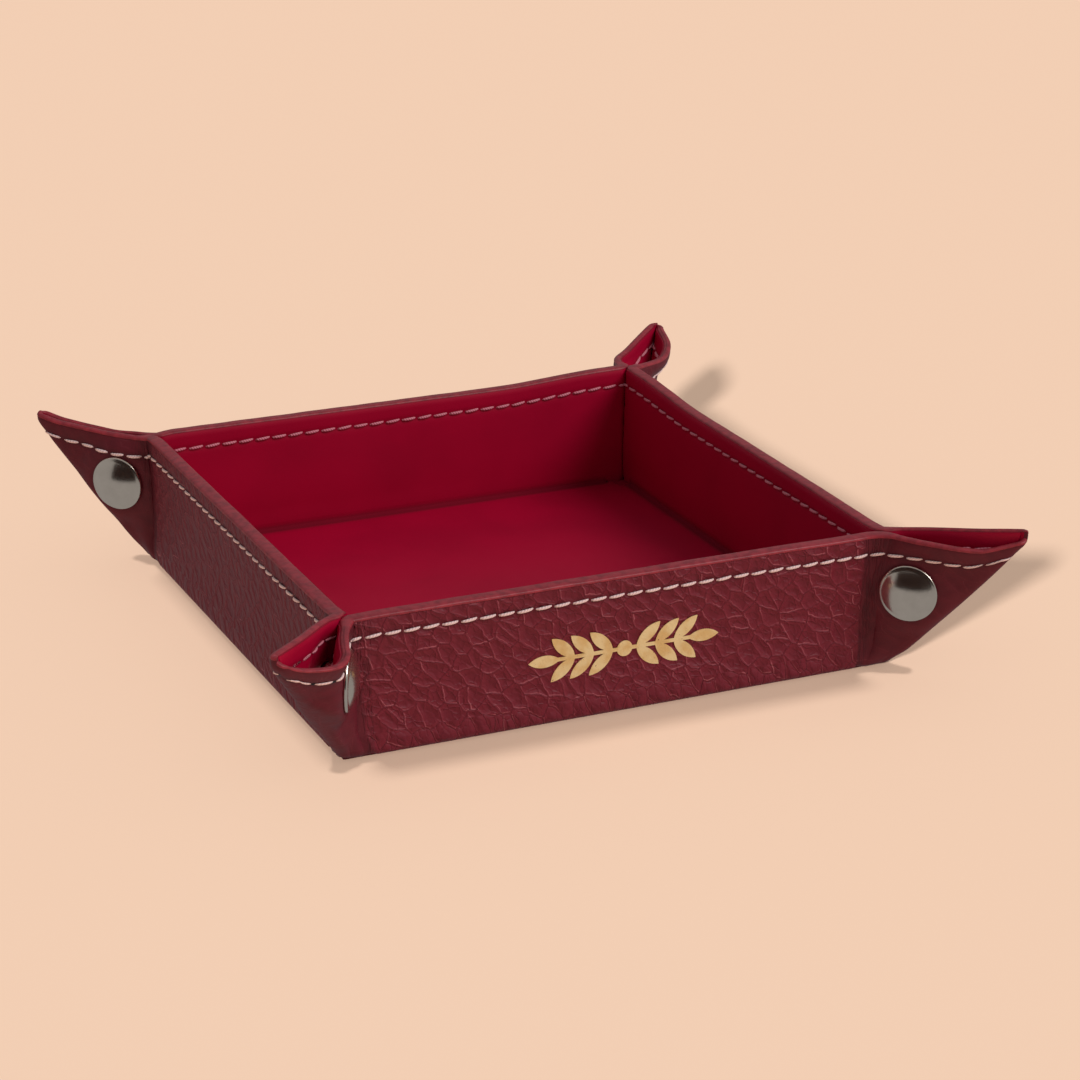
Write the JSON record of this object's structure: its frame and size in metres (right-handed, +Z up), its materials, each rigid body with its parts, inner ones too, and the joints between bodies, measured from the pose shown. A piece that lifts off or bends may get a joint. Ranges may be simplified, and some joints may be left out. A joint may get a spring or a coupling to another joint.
{
  "type": "valet tray",
  "caption": "Square leather valet tray: stiffened walls fold up round the base and press studs pinch the corners; unsnapped, it opens out almost flat.",
  "frame": {"origin": "under the middle of the base, on the surface that the tray stands on", "axes": "+Z up; the front wall, with the gilded sprig, faces -Y; +X to the right seen from the front"},
  "size_m": [0.1642, 0.1642, 0.0323],
  "materials": {
    "outer_leather": "burgundy pebble grain, semi-matt",
    "lining": "crimson smooth grain, soft sheen",
    "stiffening_board": "grey-brown compressed fibre board",
    "thread": "waxed cream-pink thread",
    "nickel": "polished nickel plate",
    "gold_foil": "hot-pressed gold foil"
  },
  "bodies": {
    "base": {"base_outer_leather": "outer_leather", "base_board": "stiffening_board", "base_lining": "lining"},
    "wall_back": {"wall_back_outer_leather": "outer_leather", "wall_back_board": "stiffening_board", "wall_back_lining": "lining", "wall_back_stitching": "thread"},
    "ear_back_right_back_half": {"ear_back_right_back_half_outer_leather": "outer_leather", "ear_back_right_back_half_lining": "lining", "ear_back_right_back_half_stitching": "thread", "stud_back_right_back_rivet": "nickel", "stud_back_right_post": "nickel"},
    "ear_back_left_back_half": {"ear_back_left_back_half_outer_leather": "outer_leather", "ear_back_left_back_half_lining": "lining", "ear_back_left_back_half_stitching": "thread", "stud_back_left_back_rivet": "nickel", "stud_back_left_post": "nickel"},
    "wall_left": {"wall_left_outer_leather": "outer_leather", "wall_left_board": "stiffening_board", "wall_left_lining": "lining", "wall_left_stitching": "thread"},
    "ear_back_left_left_half": {"ear_back_left_left_half_outer_leather": "outer_leather", "ear_back_left_left_half_lining": "lining", "ear_back_left_left_half_stitching": "thread", "stud_back_left_cap": "nickel", "stud_back_left_socket": "nickel"},
    "ear_front_left_left_half": {"ear_front_left_left_half_outer_leather": "outer_leather", "ear_front_left_left_half_lining": "lining", "ear_front_left_left_half_stitching": "thread", "stud_front_left_back_rivet": "nickel", "stud_front_left_post": "nickel"},
    "wall_front": {"wall_front_outer_leather": "outer_leather", "wall_front_board": "stiffening_board", "wall_front_lining": "lining", "wall_front_stitching": "thread", "foil_leaf_ornament": "gold_foil"},
    "ear_front_left_front_half": {"ear_front_left_front_half_outer_leather": "outer_leather", "ear_front_left_front_half_lining": "lining", "ear_front_left_front_half_stitching": "thread", "stud_front_left_cap": "nickel", "stud_front_left_socket": "nickel"},
    "ear_front_right_front_half": {"ear_front_right_front_half_outer_leather": "outer_leather", "ear_front_right_front_half_lining": "lining", "ear_front_right_front_half_stitching": "thread", "stud_front_right_cap": "nickel", "stud_front_right_socket": "nickel"},
    "wall_right": {"wall_right_outer_leather": "outer_leather", "wall_right_board": "stiffening_board", "wall_right_lining": "lining", "wall_right_stitching": "thread"},
    "ear_front_right_right_half": {"ear_front_right_right_half_outer_leather": "outer_leather", "ear_front_right_right_half_lining": "lining", "ear_front_right_right_half_stitching": "thread", "stud_front_right_back_rivet": "nickel", "stud_front_right_post": "nickel"},
    "ear_back_right_right_half": {"ear_back_right_right_half_outer_leather": "outer_leather", "ear_back_right_right_half_lining": "lining", "ear_back_right_right_half_stitching": "thread", "stud_back_right_cap": "nickel", "stud_back_right_socket": "nickel"}
  },
  "joints": [
    {"name": "wall_front_fold", "type": "hinge", "parent": "base", "child": "wall_front", "pos_m": [0, -0.0588, 0.0017], "axis": [1, 0, 0], "range_deg": [0, 75.5]},
    {"name": "wall_back_fold", "type": "hinge", "parent": "base", "child": "wall_back", "pos_m": [0, 0.0588, 0.0017], "axis": [-1, 0, 0], "range_deg": [0, 75.5]},
    {"name": "wall_left_fold", "type": "hinge", "parent": "base", "child": "wall_left", "pos_m": [-0.0588, 0, 0.0017], "axis": [0, -1, 0], "range_deg": [0, 75.5]},
    {"name": "wall_right_fold", "type": "hinge", "parent": "base", "child": "wall_right", "pos_m": [0.0588, 0, 0.0017], "axis": [0, 1, 0], "range_deg": [0, 75.5]},
    {"name": "ear_back_left_back_half_fold", "type": "hinge", "parent": "wall_back", "child": "ear_back_left_back_half", "pos_m": [-0.05601, 0.05989, 0.01582], "axis": [0, 0.0349, 0.9994], "range_deg": [0, 38.5]},
    {"name": "ear_back_left_left_half_fold", "type": "hinge", "parent": "wall_left", "child": "ear_back_left_left_half", "pos_m": [-0.05989, 0.05601, 0.01582], "axis": [0.0349, 0, -0.9994], "range_deg": [0, 38.5]},
    {"name": "ear_back_right_back_half_fold", "type": "hinge", "parent": "wall_back", "child": "ear_back_right_back_half", "pos_m": [0.05601, 0.05989, 0.01582], "axis": [0, -0.0349, -0.9994], "range_deg": [0, 38.5]},
    {"name": "ear_back_right_right_half_fold", "type": "hinge", "parent": "wall_right", "child": "ear_back_right_right_half", "pos_m": [0.05989, 0.05601, 0.01582], "axis": [0.0349, 0, 0.9994], "range_deg": [0, 38.5]},
    {"name": "ear_front_left_front_half_fold", "type": "hinge", "parent": "wall_front", "child": "ear_front_left_front_half", "pos_m": [-0.05601, -0.05989, 0.01582], "axis": [0, 0.0349, -0.9994], "range_deg": [0, 38.5]},
    {"name": "ear_front_left_left_half_fold", "type": "hinge", "parent": "wall_left", "child": "ear_front_left_left_half", "pos_m": [-0.05989, -0.05601, 0.01582], "axis": [-0.0349, 0, 0.9994], "range_deg": [0, 38.5]},
    {"name": "ear_front_right_front_half_fold", "type": "hinge", "parent": "wall_front", "child": "ear_front_right_front_half", "pos_m": [0.05601, -0.05989, 0.01582], "axis": [0, -0.0349, 0.9994], "range_deg": [0, 38.5]},
    {"name": "ear_front_right_right_half_fold", "type": "hinge", "parent": "wall_right", "child": "ear_front_right_right_half", "pos_m": [0.05989, -0.05601, 0.01582], "axis": [-0.0349, 0, -0.9994], "range_deg": [0, 38.5]}
  ],
  "couplings": [
    {"joint": "wall_back_fold", "follows": "wall_front_fold", "ratio": 1},
    {"joint": "ear_back_right_back_half_fold", "follows": "wall_front_fold", "ratio": 0.5087},
    {"joint": "ear_back_left_back_half_fold", "follows": "wall_front_fold", "ratio": 0.5087},
    {"joint": "wall_left_fold", "follows": "wall_front_fold", "ratio": 1},
    {"joint": "ear_back_left_left_half_fold", "follows": "wall_front_fold", "ratio": 0.5087},
    {"joint": "ear_front_left_left_half_fold", "follows": "wall_front_fold", "ratio": 0.5087},
    {"joint": "ear_front_left_front_half_fold", "follows": "wall_front_fold", "ratio": 0.5087},
    {"joint": "ear_front_right_front_half_fold", "follows": "wall_front_fold", "ratio": 0.5087},
    {"joint": "wall_right_fold", "follows": "wall_front_fold", "ratio": 1},
    {"joint": "ear_front_right_right_half_fold", "follows": "wall_front_fold", "ratio": 0.5087},
    {"joint": "ear_back_right_right_half_fold", "follows": "wall_front_fold", "ratio": 0.5087}
  ]
}
